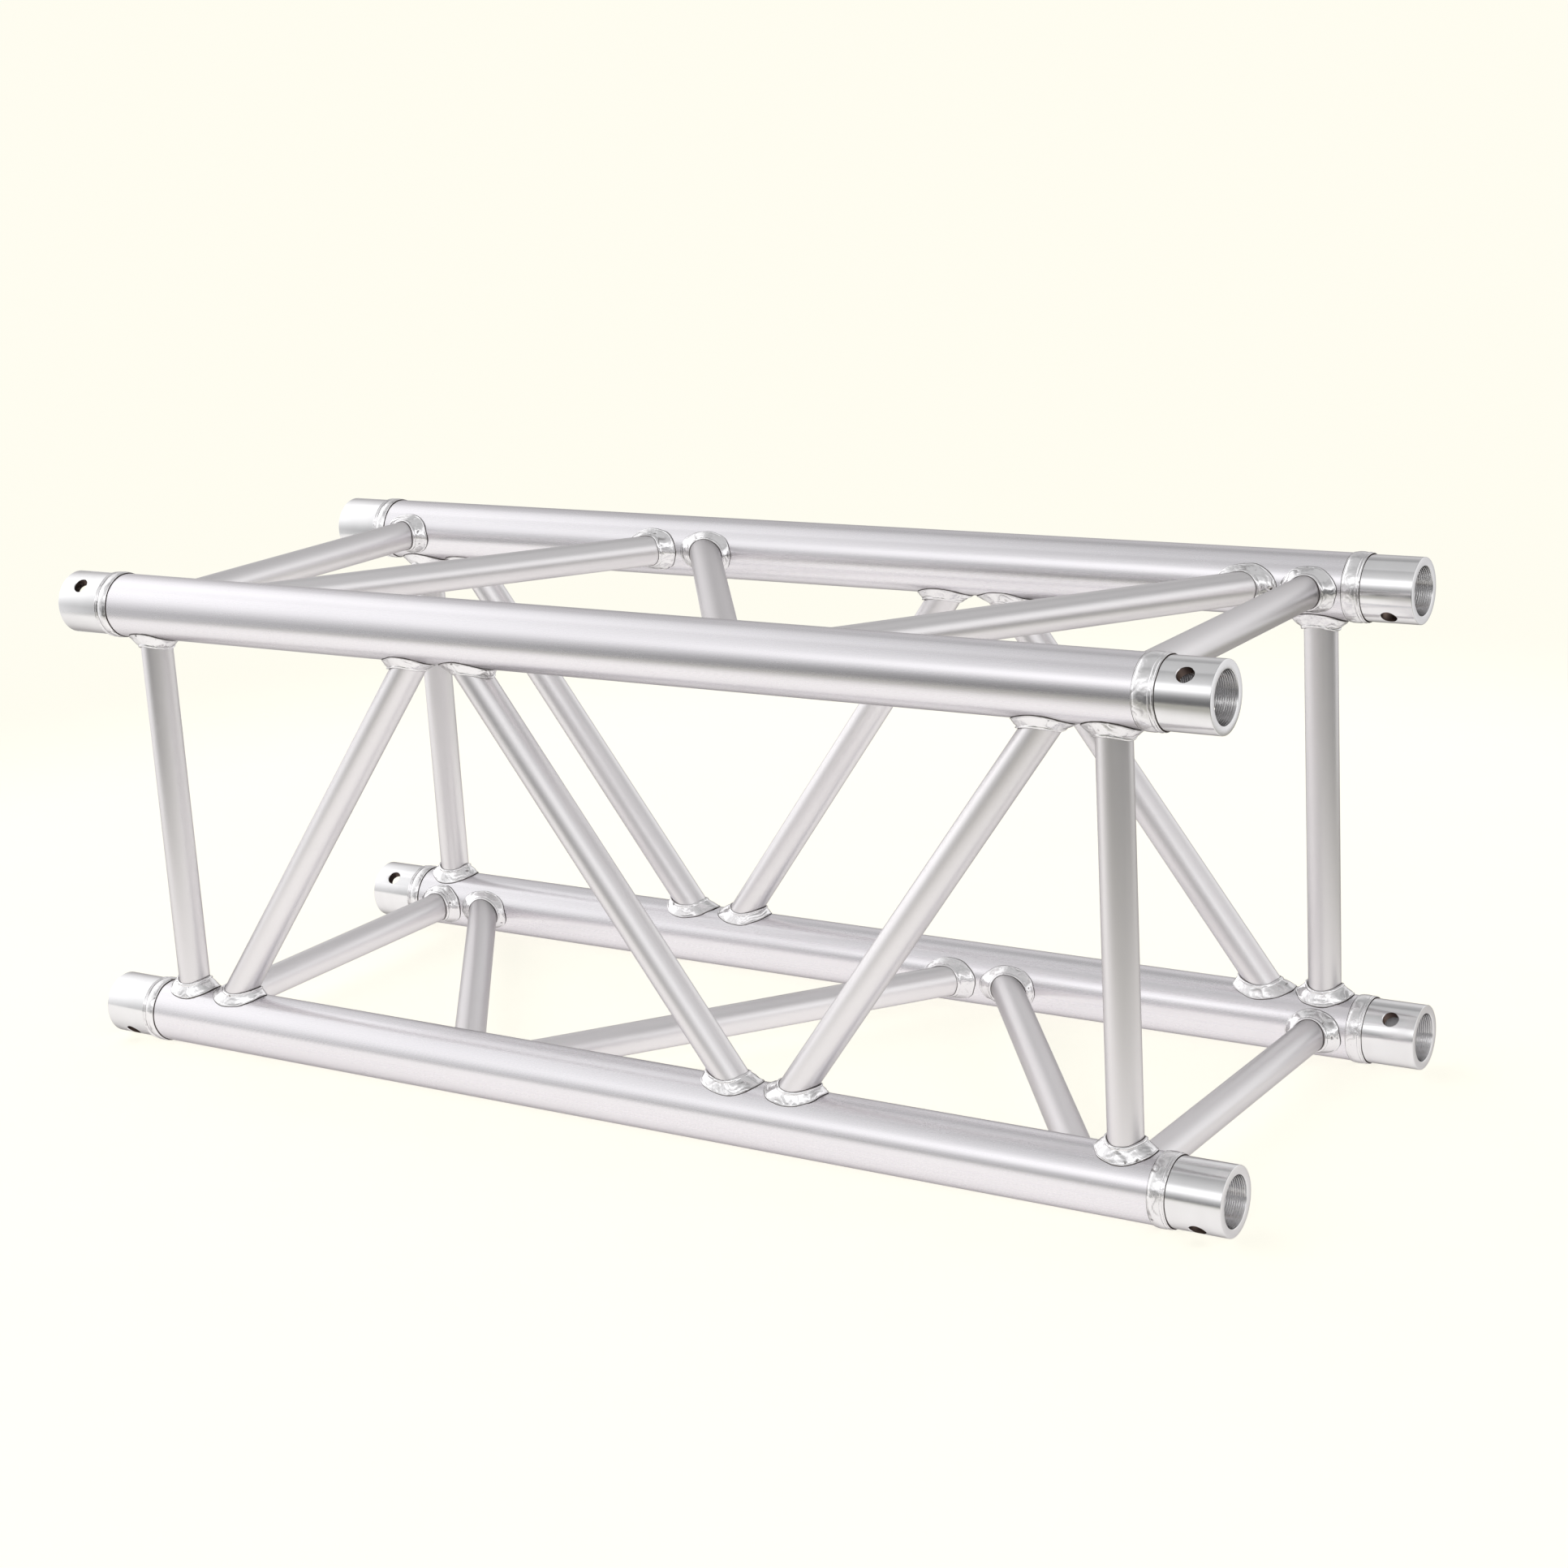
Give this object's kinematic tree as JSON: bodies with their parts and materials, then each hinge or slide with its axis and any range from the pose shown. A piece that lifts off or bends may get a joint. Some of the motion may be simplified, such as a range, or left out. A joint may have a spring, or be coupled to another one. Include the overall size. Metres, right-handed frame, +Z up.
{
  "type": "lighting truss section",
  "caption": "Square box truss section in welded round aluminium tube, with tapered pin-locked receivers on its chord ends.",
  "frame": {"origin": "middle of the section: halfway along it and on its centre line", "axes": "+X along the section towards its right-hand end, +Y to the back, +Z up"},
  "size_m": [1, 0.3924, 0.3924],
  "materials": {
    "chord_tube": "extruded mill finish with long soft draw lines",
    "brace_tube": "matt mill finish",
    "machined_receiver": "bright turned, with fine turning marks",
    "weld_bead": "bright rippled weld"
  },
  "bodies": {
    "root": {"chord_top_front": "chord_tube", "chord_top_back": "chord_tube", "chord_bottom_front": "chord_tube", "chord_bottom_back": "chord_tube", "receiver_top_front_left": "machined_receiver", "receiver_top_front_right": "machined_receiver", "receiver_top_back_left": "machined_receiver", "receiver_top_back_right": "machined_receiver", "receiver_bottom_front_left": "machined_receiver", "receiver_bottom_front_right": "machined_receiver", "receiver_bottom_back_left": "machined_receiver", "receiver_bottom_back_right": "machined_receiver", "ring_weld_top_front_left": "weld_bead", "ring_weld_top_front_right": "weld_bead", "ring_weld_top_back_left": "weld_bead", "ring_weld_top_back_right": "weld_bead", "ring_weld_bottom_front_left": "weld_bead", "ring_weld_bottom_front_right": "weld_bead", "ring_weld_bottom_back_left": "weld_bead", "ring_weld_bottom_back_right": "weld_bead", "upright_front_left": "brace_tube", "upright_front_left_welds": "weld_bead", "upright_front_right": "brace_tube", "upright_front_right_welds": "weld_bead", "diagonal_front_left": "brace_tube", "diagonal_front_left_welds": "weld_bead", "diagonal_front_middle": "brace_tube", "diagonal_front_middle_welds": "weld_bead", "diagonal_front_right": "brace_tube", "diagonal_front_right_welds": "weld_bead", "upright_back_left": "brace_tube", "upright_back_left_welds": "weld_bead", "upright_back_right": "brace_tube", "upright_back_right_welds": "weld_bead", "diagonal_back_left": "brace_tube", "diagonal_back_left_welds": "weld_bead", "diagonal_back_middle": "brace_tube", "diagonal_back_middle_welds": "weld_bead", "diagonal_back_right": "brace_tube", "diagonal_back_right_welds": "weld_bead", "strut_top_left": "brace_tube", "strut_top_left_welds": "weld_bead", "strut_top_right": "brace_tube", "strut_top_right_welds": "weld_bead", "diagonal_top_left": "brace_tube", "diagonal_top_left_welds": "weld_bead", "diagonal_top_middle": "brace_tube", "diagonal_top_middle_welds": "weld_bead", "diagonal_top_right": "brace_tube", "diagonal_top_right_welds": "weld_bead", "strut_bottom_left": "brace_tube", "strut_bottom_left_welds": "weld_bead", "strut_bottom_right": "brace_tube", "strut_bottom_right_welds": "weld_bead", "diagonal_bottom_left": "brace_tube", "diagonal_bottom_left_welds": "weld_bead", "diagonal_bottom_middle": "brace_tube", "diagonal_bottom_middle_welds": "weld_bead", "diagonal_bottom_right": "brace_tube", "diagonal_bottom_right_welds": "weld_bead"}
  },
  "joints": []
}
